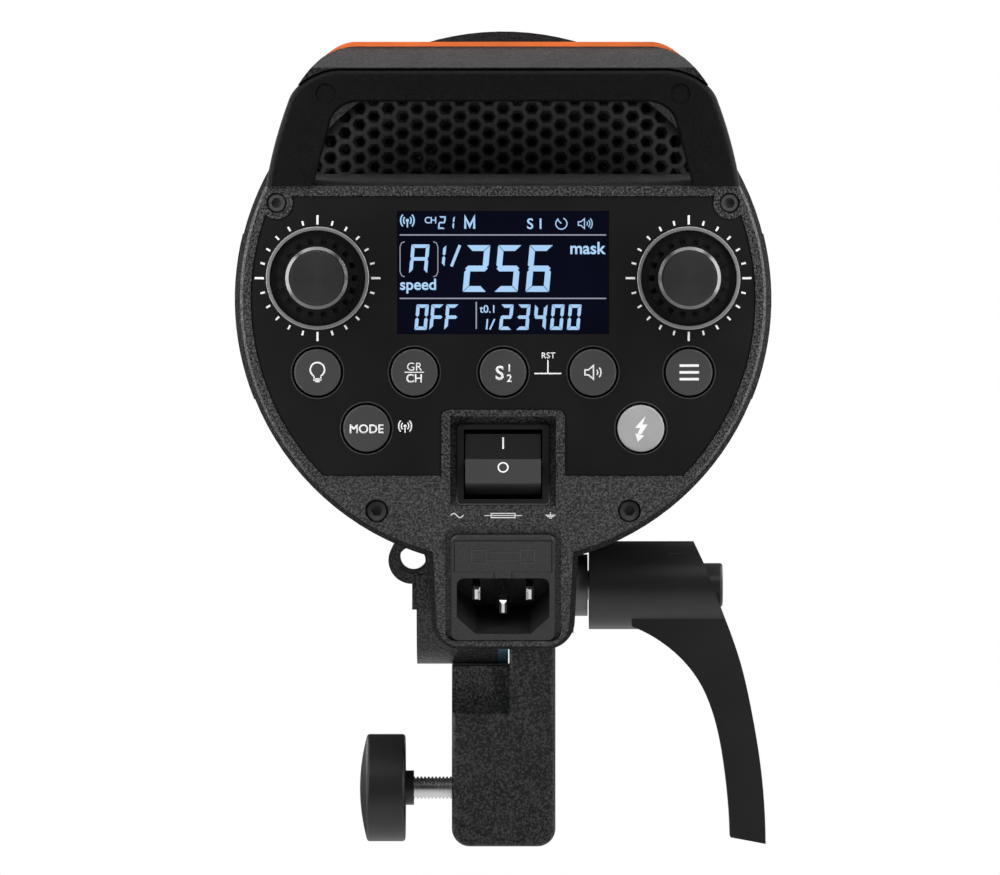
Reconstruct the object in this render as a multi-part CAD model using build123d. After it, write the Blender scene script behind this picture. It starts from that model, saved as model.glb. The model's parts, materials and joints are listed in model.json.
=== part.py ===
from build123d import *
import os
from math import cos, radians, sin, sqrt, tan

# Studio flash head, millimetres, +Z up.  The control panel looks along -Y and the
# light leaves along +Y.  The origin is the centre of the stand socket's mouth.
# Most pieces are drawn in the head's own frame, whose origin lies on the lamp axis in
# the plane of the control panel, or in the tilt frame, whose origin lies on the tilt axis.

# ---- driving dimensions -------------------------------------------------------------
AXIS_HEIGHT = 148.5     # lamp axis above the mouth of the stand socket
TILT_DROP = 78.0        # tilt axis below the lamp axis
TILT_DEPTH = 120.0      # tilt axis in front of the control panel's plane
WALL = 2.5              # moulded wall thickness

COVER_R = 68.2          # rear cover
COVER_END = 42.0        # parting plane between the rear cover and the housing
RIM_FACE = -0.4         # the cover's rim stands this far proud of the panel
HOUSING_R = 70.6        # main housing
HOUSING_END = 232.0
RING_R = 64.4           # inner edge of the housing's rear ring
BELL_R = 74.5           # front bell
BELL_END = 291.0
PIN_X = 68.6            # locking pin of the accessory mount

PANEL_R = 65.3
PANEL_TOP = 26.55
PANEL_BOTTOM = -45.7
PANEL_T = 2.0
NOTCH_HALF = 16.1       # notch in the panel round the power switch
NOTCH_TOP = -28.6

SHELF_Z = 29.3          # rear edge of the shelf under the grille
SHELF_SLOPE = 0.088     # rise of the shelf per millimetre of depth
CHIN_ANGLE = 25.0       # the chin leans this far from vertical
CHIN_TOP = -46.2

KEEL_TOP_HALF = 18.2    # keel of the rear cover: half widths and lowest point
KEEL_LOW_HALF = 17.0
KEEL_BOTTOM = -90.8
KEEL_CORNER = 6.0
KEEL_WAIST = -66.0      # the keel's sides are upright above this height
KEEL_ROOT = -40.0       # inside the round body
HOUSING_KEEL_GROW = 1.6
HOUSING_KEEL_END = 64.0

DISPLAY_HALF = (27.45, 15.95)   # half width and half height of the display's opening
DISPLAY_Z = 6.85
DIALS = ((-48.1, 5.4), (48.1, 5.4))
DIAL_R = 13.3
KNOB_SKIRT_R = 10.5
KNOB_R = 8.05
KNOB_END = -11.0
BUTTON_R = 6.05
BUTTON_HOLE_R = 6.6
BUTTONS = {
    "lamp_button": (-48.1, -19.0),
    "group_button": (-23.0, -19.0),
    "sync_button": (0.0, -19.0),
    "sound_button": (23.3, -19.0),
    "menu_button": (48.2, -19.0),
    "mode_button": (-35.4, -33.5),
    "test_button": (35.7, -33.5),
}
TOP_SCREWS = ((-58.7, 24.9), (58.7, 24.9))
CHIN_SCREWS = ((-32.8, -55.0), (32.8, -55.0))
SCREW_HEAD = 3.0        # height of a screw's head

SWITCH_Z = -42.85       # centre of the power switch
SWITCH_HALF = (12.2, 10.6)
SWITCH_FACE = 1.9
POCKET_FLOOR = 3.5
ROCKER_PIVOT_Y = 8.0
ROCKER_TIP = 12.0       # tilt of the rocker at rest

INLET_V = -32.35        # centre of the mains inlet, measured down the chin
INLET_FACE = (27.4, 30.9)
INLET_DEPTH = 24.0
CAVITY = (24.2, 16.3)
CAVITY_V = -37.5
CAVITY_DEPTH = 17.0
DRAWER = (25.2, 8.9)
DRAWER_V = -22.95

HEX_FLATS = 3.2         # rear grille
HEX_COLUMN = 3.8
HEX_ROW = 4.36
FAN_HALF = 46.0
FAN_START = 55.0
FAN_END = 75.0

HANDLE_Y = (-4.2, 22.0)  # rear and front of the carry handle
HANDLE_EDGE = 1.5       # rounding of the loop's rear edge
HANDLE_FOOT = 20.0      # inside the round body
HANDLE_SHOULDER = (55.7, 51.0)
HANDLE_SEAM = 59.4      # underside of the handle's cover
HANDLE_TOP = 66.8
OPENING_TOP = 51.6
STRIP_T = 1.2           # thickness of the trim strip along the top
STRIP_Y = (5.4, 17.3)
PLUGS = ((-45.9, 53.2), (45.9, 53.2))

RECEIVER_HALF_Y = 13.0
RECEIVER_X = (-13.9, 14.2)
ARM_X = 1.7             # left side of the receiver's upright arm
SOCKET_R = 8.05         # takes a 16 mm stand spigot
SOCKET_DEPTH = 38.0
KNUCKLE_R = 21.4
BOLT_R = 4.0
HINGE_GAP = 0.05        # running clearance of a shaft in its bore
CLAMP_Z = -55.2         # clamp screw, in the tilt frame
EYE = (-24.6, 7.4)      # umbrella eye, in the tilt frame
EYE_R = 3.6
EYE_HALF = 21.0         # half length of the umbrella eye
EDGE_R = 1.2            # rounding of the casting's edges
LEVER_R = 12.0

os.makedirs("parts", exist_ok=True)


# ---- helpers ------------------------------------------------------------------------
def rod(radius, y0, y1, x=0.0, z=0.0):
    """Cylinder along +Y from y0 to y1."""
    base = Plane((x, y0, z), x_dir=(1, 0, 0), z_dir=(0, 1, 0))
    return base * Cylinder(radius, y1 - y0, align=(Align.CENTER, Align.CENTER, Align.MIN))


def rod_x(radius, x0, x1, y=0.0, z=0.0):
    """Cylinder along +X from x0 to x1."""
    base = Plane((x0, y, z), x_dir=(0, 1, 0), z_dir=(1, 0, 0))
    return base * Cylinder(radius, x1 - x0, align=(Align.CENTER, Align.CENTER, Align.MIN))


def ring(outer, inner, y0, y1, x=0.0, z=0.0):
    return rod(outer, y0, y1, x, z) - rod(inner, y0 - 1, y1 + 1, x, z)


def box(x0, x1, y0, y1, z0, z1):
    return Pos((x0 + x1) / 2, (y0 + y1) / 2, (z0 + z1) / 2) * Box(x1 - x0, y1 - y0, z1 - z0)


def slab(sketch, y0, y1):
    """A sketch drawn in X and Z, made solid from y0 to y1."""
    far_side = Plane((0, y1, 0), x_dir=(1, 0, 0), z_dir=(0, -1, 0))
    return extrude(far_side * sketch, amount=y1 - y0)


def profile(points, x0, x1):
    """A polygon of (y, z) points, made solid from x0 to x1."""
    wire = Polyline([(x0, y, z) for y, z in points], close=True)
    return extrude(make_face(wire), amount=x1 - x0, dir=(1, 0, 0))


def spun(points):
    """A polygon of (radius, y) points turned about the lamp axis."""
    wire = Polyline([(r, y, 0) for r, y in points], close=True)
    return revolve(make_face(wire), axis=Axis.Y)


def save(part, name, frame):
    shape = frame * part
    shape.label = name
    export_step(shape, f"parts/{name}.step")


def mirrored(points):
    """Closed outline, symmetric about X = 0, from the points of its right-hand side."""
    return points + [(-x, z) for x, z in reversed(points)]


def mirrored_face(curves):
    """Symmetric face from the curves of its right-hand side, drawn upwards from the bottom."""
    left = [mirror(curve, Plane.YZ) for curve in curves]
    foot = curves[0] @ 0
    crown = curves[-1] @ 1
    base = Line((-foot.X, foot.Y), (foot.X, foot.Y))
    top = Line((-crown.X, crown.Y), (crown.X, crown.Y))
    return make_face(curves + left + [base, top])


HEAD = Pos(0, -TILT_DEPTH, AXIS_HEIGHT)
TILT = Pos(0, 0, AXIS_HEIGHT - TILT_DROP)
CHIN_NORMAL = (0, -cos(radians(CHIN_ANGLE)), -sin(radians(CHIN_ANGLE)))
CHIN = Plane((0, 0, CHIN_TOP), x_dir=(1, 0, 0), z_dir=CHIN_NORMAL)


def behind_chin(offset=0.0):
    """Everything outside the chin's plane, moved inwards by offset."""
    low = -140.0
    depth = (CHIN_TOP - low) * tan(radians(CHIN_ANGLE))
    shift = offset / cos(radians(CHIN_ANGLE))
    points = [(shift, CHIN_TOP), (shift + depth, low), (-40, low), (-40, CHIN_TOP)]
    return profile(points, -90, 90)


def below_shelf(drop=0.0):
    """The space under the sloping shelf, from behind the panel to the parting plane."""
    rear = -20.0
    front = 80.0
    points = [
        (rear, SHELF_Z + SHELF_SLOPE * rear - drop),
        (front, SHELF_Z + SHELF_SLOPE * front - drop),
        (front, -120),
        (rear, -120),
    ]
    return profile(points, -90, 90)


def keel_sketch(grow):
    """Outline of the keel under the round body."""
    top = KEEL_TOP_HALF + grow
    low = KEEL_LOW_HALF + grow
    bottom = KEEL_BOTTOM - grow
    right = [(low, bottom), (top, KEEL_WAIST), (top, KEEL_ROOT)]
    face = make_face(Polyline(mirrored(right), close=True))
    corners = face.vertices().group_by(Axis.Y)[0]
    return fillet(corners, KEEL_CORNER + grow)


def body_slab(radius, grow, y0, y1):
    return slab(Circle(radius) + keel_sketch(grow), y0, y1)


# ---- rear cover ---------------------------------------------------------------------
def panel_sketch(grow=0.0):
    """Outline of the control panel with its notches."""
    band_top = PANEL_TOP + grow
    band_bottom = PANEL_BOTTOM - grow
    band = Pos(0, (band_top + band_bottom) / 2) * Rectangle(150, band_top - band_bottom)
    notch_half = NOTCH_HALF - grow
    notch_top = NOTCH_TOP - grow
    notch = Pos(0, notch_top - 15) * RectangleRounded(2 * notch_half, 30, 1.8)
    sketch = Circle(PANEL_R + grow) & band
    sketch -= notch
    for x, z in TOP_SCREWS:
        sketch -= Pos(x, z) * Circle(4.3 - grow)
    return sketch


def switch_pocket():
    top = NOTCH_TOP - 1.8
    return box(-13.7, 13.7, -5, POCKET_FLOOR, -58, top)


def rear_cover():
    shell = body_slab(COVER_R, 0.0, RIM_FACE, COVER_END)
    shell = chamfer(shell.faces().sort_by(Axis.Y)[0].outer_wire().edges(), 0.7)
    shell -= behind_chin()
    inner = body_slab(COVER_R - WALL, -WALL, PANEL_T + WALL, COVER_END + 1)
    inner -= behind_chin(WALL)
    inner &= below_shelf(WALL)
    inner -= box(-15.6, 15.6, -5, POCKET_FLOOR + 2, -60, NOTCH_TOP - 0.2)
    for x, z in TOP_SCREWS + CHIN_SCREWS:
        inner -= rod(4.2, -5, COVER_END + 2, x, z)
    shell = (shell & below_shelf()) - inner
    shell -= slab(panel_sketch(0.12), -3, PANEL_T)
    shell -= switch_pocket()
    shell -= box(-11.9, 11.9, 0, 12, SWITCH_Z - 9.6, SWITCH_Z + 9.6)
    shell -= box(-25.7, 25.7, 0, 12, DISPLAY_Z - 14.3, DISPLAY_Z + 14.3)
    for x, z in BUTTONS.values():
        shell -= rod(BUTTON_HOLE_R, 0, 12, x, z)
    for x, z in DIALS:
        shell -= rod(4.75, 0, 12, x, z)
    pocket = Pos(0, -30.95, 0) * extrude(RectangleRounded(30.2, 33.7, 2.6), amount=1.2, both=True)
    shell -= CHIN * pocket
    shell -= CHIN * Pos(0, INLET_V, 0) * Box(26.2, 28.9, 24)
    for x, z in TOP_SCREWS:
        shell -= rod(2.65, -5, 3.2, x, z) + rod(1.65, -5, COVER_END + 1, x, z)
    for x, z in CHIN_SCREWS:
        shell -= rod(3.0, -5, 8.6, x, z) + rod(1.65, -5, COVER_END + 1, x, z)
    return shell


def cover_screws():
    """Four long socket-head screws that hold the rear cover to the housing."""
    group = []
    for places, head_r, seat in ((TOP_SCREWS, 2.5, 3.2), (CHIN_SCREWS, 2.8, 8.6)):
        for x, z in places:
            head = rod(head_r, seat - SCREW_HEAD, seat, x, z)
            head = chamfer(head.faces().sort_by(Axis.Y)[0].edges(), 0.35)
            socket = Pos(x, 0, z) * slab(RegularPolygon(1.45, 6), seat - 4, seat - 1.4)
            group.append(head + rod(1.5, seat, 50, x, z) - socket)
    return Compound(children=group)


def control_panel():
    plate = slab(panel_sketch(), 0, PANEL_T)
    plate -= display_block(DISPLAY_HALF, -1, 3)
    for x, z in DIALS:
        plate -= rod(DIAL_R + 0.05, -1, 3, x, z)
    for x, z in BUTTONS.values():
        plate -= rod(BUTTON_HOLE_R, -1, 3, x, z)
    return plate


def display_block(half, y0, y1):
    """Rectangular block about the display's centre."""
    half_x, half_z = half
    return box(-half_x, half_x, y0, y1, DISPLAY_Z - half_z, DISPLAY_Z + half_z)


def display_window():
    half_x, half_z = DISPLAY_HALF
    gap = 0.05
    return display_block((half_x - gap, half_z - gap), 0.15, 1.95)


def display_module():
    module = box(-29, 29, 4.7, 9.5, DISPLAY_Z - 17.5, DISPLAY_Z + 17)
    return module + display_block((25.4, 14), 3.2, 5)


def control_board():
    outline = Circle(61.5) & (Pos(0, -8) * Rectangle(112, 64))
    outline -= Pos(0, SWITCH_Z) * Rectangle(27, 26)
    for x, z in TOP_SCREWS + CHIN_SCREWS:
        outline -= Pos(x, z) * Circle(4.6)
    board = slab(outline, 14, 15.6)
    chip = box(-9, 9, 15.6, 17.2, -6, 12)
    return board + chip + box(20, 40, 15.6, 21, -30, -18)


def dial_well(x, z):
    """Polished ring with the dark floor that the knob turns over."""
    wall = ring(DIAL_R, DIAL_R - 0.9, -0.8, PANEL_T, x, z)
    edges = wall.faces().sort_by(Axis.Y)[0].edges()
    wall = chamfer(edges, 0.25)
    return wall + ring(DIAL_R - 0.5, 4.9, 1.0, PANEL_T, x, z)


def encoder(x, z):
    body = box(x - 6.5, x + 6.5, 5.2, 13.6, z - 6.5, z + 6.5)
    bush = rod(4.5, 1.4, 6, x, z)
    return body + bush - rod(3.0 + HINGE_GAP, 0, 12.4, x, z)


def encoder_shaft(x, z):
    return rod(3.0, -7.5, 12.0, x, z) - box(x + 1.5, x + 4, -9, 0.9, z - 4, z + 4)


def knob(x, z):
    """Turned knob with a castellated grip skirt and a recess for its metal cap."""
    body = rod(KNOB_SKIRT_R, -3.6, 0.2, x, z) + rod(KNOB_R, KNOB_END, -3, x, z)
    body = chamfer(body.faces().sort_by(Axis.Y)[0].edges(), 0.9)
    count = 18
    for i in range(count):
        angle = 360 / count * i
        tooth_gap = Pos(KNOB_SKIRT_R - 0.4, 0, 0) * Box(2.4, 6, 1.5)
        body -= Pos(x, -1.5, z) * Rot(0, angle, 0) * tooth_gap
    body -= rod(3.0 + HINGE_GAP, -8, 1, x, z) - box(x + 1.6, x + 4, -9, 2, z - 4, z + 4)
    return body - rod(6.95, -12, KNOB_END + 0.9, x, z)


def knob_cap(x, z):
    return rod(6.9, KNOB_END - 0.1, KNOB_END + 0.9, x, z)


def button(x, z):
    cap = rod(BUTTON_R, -0.9, 4.8, x, z)
    cap = fillet(cap.faces().sort_by(Axis.Y)[0].edges(), 0.45)
    return cap + rod(7.5, 4.8, 5.6, x, z) + rod(1.5, 5.5, 13.2, x, z)


# ---- power switch and mains inlet ---------------------------------------------------
def switch_frame():
    half_x, half_z = SWITCH_HALF
    outline = Pos(0, SWITCH_Z) * RectangleRounded(2 * half_x, 2 * half_z, 1.2)
    flange = slab(outline, SWITCH_FACE, POCKET_FLOOR)
    flange = chamfer(flange.faces().sort_by(Axis.Y)[0].edges(), 0.4)
    body = flange + box(-11.8, 11.8, POCKET_FLOOR, 22, SWITCH_Z - 9.5, SWITCH_Z + 9.5)
    body -= box(-10.2, 10.2, 0, 19, SWITCH_Z - 9.05, SWITCH_Z + 9.05)
    body -= rod_x(1.25, -11.1, 11.1, ROCKER_PIVOT_Y, SWITCH_Z)
    for x in (-6, 0, 6):
        body += box(x - 2.4, x + 2.4, 21.5, 30, SWITCH_Z - 0.4, SWITCH_Z + 0.4)
    return body


def power_rocker():
    half = [(-6.97, 6.49), (-2, 8.5), (3, 6.6), (3, 0)]
    outline = [(-6.3, 0)] + half + [(y, -z) for y, z in reversed(half[:-1])]
    body = profile(outline, -9.8, 9.8) + rod_x(1.2, -11.0, 11.0)
    return Pos(0, ROCKER_PIVOT_Y, SWITCH_Z) * Rot(-ROCKER_TIP, 0, 0) * body


def cavity_sketch():
    """Mains inlet opening: rounded top corners, chamfered bottom corners."""
    width, height = CAVITY
    half = width / 2
    low = CAVITY_V - height / 2
    top = CAVITY_V + height / 2
    cut = 4.9
    right = [(half - cut, low), (half, low + cut), (half, top)]
    face = make_face(Polyline(mirrored(right), close=True))
    return fillet(face.vertices().group_by(Axis.Y)[-1], 2.0)


def inlet_housing():
    flange = Pos(0, INLET_V, -1.2) * extrude(RectangleRounded(*INLET_FACE, 2.2), amount=1.1)
    flange = chamfer(flange.faces().sort_by(Axis.Z)[-1].edges(), 0.35)
    body = flange + Pos(0, INLET_V, -INLET_DEPTH / 2 - 0.6) * Box(26, 28.7, INLET_DEPTH - 1.2)
    body -= Pos(0, 0, -CAVITY_DEPTH) * extrude(cavity_sketch(), amount=CAVITY_DEPTH + 1)
    slot = Pos(0, DRAWER_V, -10) * Box(DRAWER[0] + 0.3, DRAWER[1] + 0.3, 22.1)
    latch = Pos(0, DRAWER_V - 5.5, -2) * Box(4.7, 3, 5)
    return CHIN * (body - slot - latch)


def inlet_pins():
    group = []
    for x, v in ((-7.0, CAVITY_V + 2.0), (0.0, CAVITY_V - 2.0), (7.0, CAVITY_V + 2.0)):
        blade = Pos(x, v, -17.0) * Box(2.0, 4.0, 28.0)
        blade = chamfer(blade.faces().sort_by(Axis.Z)[-1].edges(), 0.6)
        group.append(CHIN * blade)
    return Compound(children=group)


def inlet_with_pin_slots():
    body = inlet_housing()
    for pin in inlet_pins().children:
        body -= pin
    return body


def fuse_drawer():
    tray = Pos(0, DRAWER_V, -9.9) * Box(DRAWER[0], DRAWER[1], 20.0)
    tray -= Pos(0, DRAWER_V + 1.5, -11) * Box(20.8, 8.9, 12)
    tab = Pos(0, DRAWER_V - 5.3, -0.8) * Box(4.3, 2.0, 1.8)
    return CHIN * (tray + tab)


def fuse():
    """Standard 5 by 20 mm glass fuse, lying across the drawer."""
    glass = rod_x(2.3, -10, 10)
    left_cap = rod_x(2.6, -10, -5)
    right_cap = rod_x(2.6, 5, 10)
    return CHIN * Pos(0, DRAWER_V + 0.2, -11) * (glass + left_cap + right_cap)


# ---- housing and handle -------------------------------------------------------------
def bracket_boss(radius, x0, x1):
    """Cylinder round the tilt axis, in the head's frame."""
    return rod_x(radius, x0, x1, TILT_DEPTH, -TILT_DROP)


def main_housing():
    keel = slab(keel_sketch(HOUSING_KEEL_GROW), COVER_END, 88)
    ramp_line = [(HOUSING_KEEL_END, -95), (88, -69), (140, -69)]
    ramp = profile(ramp_line + [(140, -120), (HOUSING_KEEL_END, -120)], -40, 40)
    keel -= ramp
    tube = rod(HOUSING_R, COVER_END, HOUSING_END) + keel
    inner_keel = slab(keel_sketch(HOUSING_KEEL_GROW - WALL), COVER_END - 1, 85) - Pos(0, -3.5, 2) * ramp
    hollow = rod(HOUSING_R - WALL, COVER_END + 3, HOUSING_END + 1) + inner_keel
    boss = bracket_boss(18.2, -1.0, 23.0)
    hollow -= boss
    for x, z in TOP_SCREWS + CHIN_SCREWS:
        hollow -= rod(4.2, COVER_END, 54, x, z)
    tube -= hollow
    mouth = rod(RING_R, COVER_END - 1, COVER_END + 4)
    for x, z in TOP_SCREWS + CHIN_SCREWS:
        mouth -= rod(4.2, COVER_END - 2, 56, x, z)
    tube -= mouth
    tube -= bracket_boss(15.7, 1.45, 20.6)
    tube -= bracket_boss(LEVER_R + 0.5, 20, 40)
    for x, z in TOP_SCREWS + CHIN_SCREWS:
        tube -= rod(1.55, COVER_END - 2, 51, x, z)
    recess = ring(HOUSING_R + 5, 69.6, 48, 224) & box(-90, 90, 40, 240, -26.7, 17.5)
    return tube - recess - side_slots()


def side_slots():
    """Air outlets in both sides of the body, towards the front."""
    slots = None
    for i in range(7):
        y = 168 + 7.2 * i
        slot = box(-90, 90, y, y + 2.6, -20, 11)
        slots = slot if slots is None else slots + slot
    return slots - rod(60, 100, 240)


def side_plate(sign):
    arc = ring(71.0, 69.65, 48.2, 223.8)
    window = Pos(sign * 45, 140, -4.6) * Box(90, 200, 43.8)
    return (arc & window) - side_slots()


def frame_sketch():
    leg = Spline([(62.6, HANDLE_FOOT), (60.5, 34.5), HANDLE_SHOULDER])
    corner = Spline([HANDLE_SHOULDER, (53.7, 54.5), (50.0, 57.3), (45.9, 58.9), (40.0, HANDLE_SEAM)])
    return mirrored_face([leg, corner])


def opening_sketch():
    side = Spline([(50.6, HANDLE_FOOT), (49.4, 30.0), (47.5, 37.6), (45.4, 45.4)])
    corner = Spline([(45.4, 45.4), (44.2, 48.4), (41.6, 50.6), (37.3, OPENING_TOP)])
    return mirrored_face([side, corner])


def cover_sketch():
    """Outline of the handle's cover with the trim strip, down to the shoulders."""
    curve = Spline([(54.3, 53.4), (50.4, 59.0), (46.8, 62.7), (43.0, 65.5), (38.8, HANDLE_TOP)])
    return mirrored_face([curve])


def strip_sketch():
    """The strip runs out to nothing where the top turns down."""
    low = Spline([(46.9, 62.6), (43.2, 64.6), (38.8, HANDLE_TOP - STRIP_T)])
    left = mirror(low, Plane.YZ)
    middle = Line((-38.8, HANDLE_TOP - STRIP_T), (38.8, HANDLE_TOP - STRIP_T))
    above = [(60, 62.6), (60, HANDLE_TOP + 5)]
    wing = Polyline([low @ 0] + above + [(-x, z) for x, z in reversed(above)] + [left @ 0])
    return cover_sketch() & make_face([low, left, middle, wing])


def handle_frame():
    """Loop of the handle: two legs and a bar, with its rear face leaning inwards."""
    loop = slab(frame_sketch(), *HANDLE_Y)
    rear = HANDLE_Y[0]
    loop -= profile([(rear, 60.0), (-1.2, 28.0), (-1.2, 10.0), (-12, 10.0), (-12, 60.0)], -70, 70)
    leaning_face = loop.faces().sort_by(Axis.Y)[0]
    rim = [edge for edge in leaning_face.edges() if edge.center().Z > 29]
    loop = fillet(rim, HANDLE_EDGE)
    loop -= slab(opening_sketch(), -10, 30)
    loop -= below_shelf()
    for x, z in PLUGS:
        loop -= rod(2.6, -6, 10, x, z)
    return loop


def handle_cover():
    start, end = HANDLE_Y
    lid = slab(cover_sketch() - strip_sketch(), start + 0.6, end - 0.5)
    lid -= Pos(0, 0, 0.25) * slab(frame_sketch(), -10, 40)
    ridge = HANDLE_TOP - STRIP_T
    rear_slope = [(start + 0.6, 59.9), (STRIP_Y[0], ridge), (STRIP_Y[0], 80)]
    front_slope = [(end, 60.5), (STRIP_Y[1], ridge), (STRIP_Y[1], 80)]
    lid -= profile(rear_slope + [(-20, 80), (-20, 59.9)], -80, 80)
    return lid - profile(front_slope + [(40, 80), (40, 60.5)], -80, 80)


def handle_strip():
    return slab(strip_sketch(), *STRIP_Y)


def handle_screws():
    group = [rod(2.55, -3.2, 10, x, z) for x, z in PLUGS]
    return Compound(children=group)


# ---- grille and cooling -------------------------------------------------------------
def perforated(radius, low, hole, y0, y1):
    """Part of a disc above low, full of holes on the grille's pattern."""
    outer = (Circle(radius) & (Pos(0, low + 60) * Rectangle(150, 120))).face().outer_wire()
    holes = []
    columns = int(radius / HEX_COLUMN)
    for i in range(-columns, columns + 1):
        for j in range(0, 12):
            x = i * HEX_COLUMN
            z = low + 3.4 + HEX_ROW * (j + 0.5 * (i % 2))
            if sqrt(x * x + z * z) < radius - 2.4:
                holes.append((Pos(x, z) * hole).face().outer_wire())
    return slab(Face(outer, holes), y0, y1)


def rear_grille():
    return perforated(67.0, 29.5, RegularPolygon(HEX_FLATS / sqrt(3), 6), COVER_END + 3.1, COVER_END + 4.1)


def inner_mesh():
    return perforated(66.0, 29.5, Circle(0.95), COVER_END + 6.6, COVER_END + 7.2)


def fan_frame():
    frame = box(-FAN_HALF, FAN_HALF, FAN_START, FAN_END, -FAN_HALF, FAN_HALF)
    frame -= rod(44.4, FAN_START - 1, FAN_END + 1)
    hub = rod(18.5, FAN_END - 2.6, FAN_END)
    for angle in (45, 135, 225, 315):
        strut = Rot(0, angle, 0) * box(17, 45.5, FAN_END - 2.6, FAN_END, -2, 2)
        hub += strut
    for x in (-41, 41):
        for z in (-41, 41):
            frame -= rod(2.2, FAN_START - 1, FAN_END + 1, x, z)
    return frame + hub + rod(1.9, FAN_END - 8, FAN_END)


def fan_rotor():
    rotor = rod(18.0, FAN_START + 1.5, FAN_END - 3.2)
    for i in range(7):
        blade = Rot(0, 360 / 7 * i, 0) * Pos(30.5, FAN_START + 8.8, 0) * Rot(38, 0, 0) * Box(26, 1.6, 19)
        rotor += blade
    return rotor - rod(1.9 + HINGE_GAP, FAN_END - 8.4, FAN_END)


# ---- light end ----------------------------------------------------------------------
def front_bell():
    outer = [(HOUSING_R, HOUSING_END), (BELL_R, 242), (BELL_R, BELL_END - 1.2), (BELL_R - 1.2, BELL_END)]
    inner = [(70.2, BELL_END), (70.2, 283), (67.6, 283), (67.6, HOUSING_END)]
    bell = spun(outer + inner)
    slot = box(72.6, 80, 256, 279, -6.1, 6.1)
    pin_way = rod(2.3, 250, 300, PIN_X, 0)
    guide = box(66, 74, 255, 283, -5.5, 5.5) - spun([(0, 200), (67.6, 200), (67.6, 300), (0, 300)])
    link_way = box(69, 74, 259.5, 273, -2.0, 2.0)
    eye_x, eye_z = EYE
    umbrella_way = rod(EYE_R + 0.3, 230, 300, eye_x, eye_z - TILT_DROP)
    return bell + guide - slot - pin_way - link_way - umbrella_way


def bayonet_ring():
    """Three-lug ring that an accessory twists into."""
    ring_body = ring(70.1, 61.5, 283.1, 290.6)
    for angle in (90, 210, 330):
        gap = Rot(0, angle, 0) * box(60, 66.8, 280, 293, -13, 13)
        under = ring(66.8, 50, 286.6, 293) & (Rot(0, angle + 28, 0) * box(40, 80, 280, 293, -26, 26))
        ring_body -= gap
        ring_body -= under
    return ring_body - rod(2.3, 280, 295, PIN_X, 0)


def mount_release():
    """Thumb slide on the side of the bell, with the locking pin that it draws back."""
    slide = box(73.0, 76.8, 266.2, 278.6, -5.6, 5.6)
    slide = fillet(slide.edges().filter_by(Axis.Y), 0.9)
    for i in range(4):
        slide -= box(76.2, 78, 268.4 + 2.4 * i, 269.4 + 2.4 * i, -7, 7)
    link = box(PIN_X, 73.2, 267, 271, -1.6, 1.6)
    return slide + link + rod(2.0, 266.0, 293.4, PIN_X, 0)


def reflector_plate():
    face = [(20, 238), (50, 240), (62, 276), (64, 282.6)]
    back = [(66.4, 282.6), (66.4, 280.6), (65.2, 280.6), (63.4, 275), (51.2, 238.6), (20, 236.4)]
    return spun(face + back) - rod(4.9, 230, 250, 33, -8) - rod(4.9, 230, 250, 33, 8)


def flash_tube():
    """Ring-shaped discharge tube with two electrode legs."""
    start = 14.0
    path = CenterArc((0, 0, 0), 34.0, start, 360 - 2 * start)
    lamp_plane = Plane((0, 262, 0), x_dir=(1, 0, 0), z_dir=(0, -1, 0))
    section = Plane(path @ 0, z_dir=path % 0) * Circle(4.2)
    tube = lamp_plane * sweep(section, path=path)
    leg_x = 34.0 * cos(radians(start))
    leg_z = 34.0 * sin(radians(start))
    for z in (-leg_z, leg_z):
        tube += rod(4.2, 230, 262, leg_x, z) + Pos(leg_x, 262, z) * Sphere(4.2)
    return tube


def modelling_lamp():
    body = rod(17.5, 232, 240) + rod(12, 240, 243)
    dome = Pos(0, 243, 0) * Sphere(9.0) & rod(12, 243, 260)
    return body + dome


def glass_cover():
    """Domed glass over the tube and the lamp."""
    outer = Pos(0, 250, 0) * Sphere(44) & rod(60, 250, 320)
    inner = Pos(0, 250, 0) * Sphere(42) & rod(60, 249, 320)
    skirt = ring(44, 42, 241, 250)
    dome = outer - inner - rod(60, 288, 330)
    lid = rod(22.2, 286.2, 288)
    return skirt + dome + lid


def lamp_base():
    """Insulating plate that carries the tube and the lamp."""
    return rod(67.4, 226, 230) + ring(19, 17.6, 230, 238)


def capacitor_bank():
    group = [rod(19.0, 92, 204, x, z) for x, z in ((-28.0, -16.0), (28.0, -16.0), (0.0, 32.0))]
    return Compound(children=group)


def power_board():
    board = box(-52, 52, 84, 215, -41.6, -40)
    sink = box(-40, -4, 90, 150, -40, -38)
    coil = rod(6, 160, 190, 0, -46.5) + box(-5, 5, 162, 188, -46, -41)
    return board + sink + coil


# ---- bracket ------------------------------------------------------------------------
def saddle_trim():
    """The housing's outside, in the tilt frame."""
    return rod(HOUSING_R, -60, 60, 0, TILT_DROP)


def head_bracket():
    """Cast knuckle and ear that carry the head, with the umbrella eye."""
    knuckle = rod_x(KNUCKLE_R, -14.4, -1.4)
    knuckle += box(-23.4, -1.4, -20, 20, 0, 16)
    ear = rod_x(KNUCKLE_R, -23.4, -14.4)
    eye_x, eye_z = EYE
    loop = rod(EYE_R + 2.8, -EYE_HALF, EYE_HALF, eye_x, eye_z)
    web = box(eye_x, -14.4, -20, 20, -6, eye_z)
    body = knuckle + ear + loop + web
    body -= saddle_trim()
    body -= rod(EYE_R, -30, 30, eye_x, eye_z)
    return body - rod_x(BOLT_R + HINGE_GAP, -30, 5)


def friction_disc():
    """Steel disc keyed to the knuckle, that the arm is clamped against."""
    return rod_x(KNUCKLE_R, -1.4, 1.4) - saddle_trim() - rod_x(BOLT_R + HINGE_GAP, -5, 5)


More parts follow.
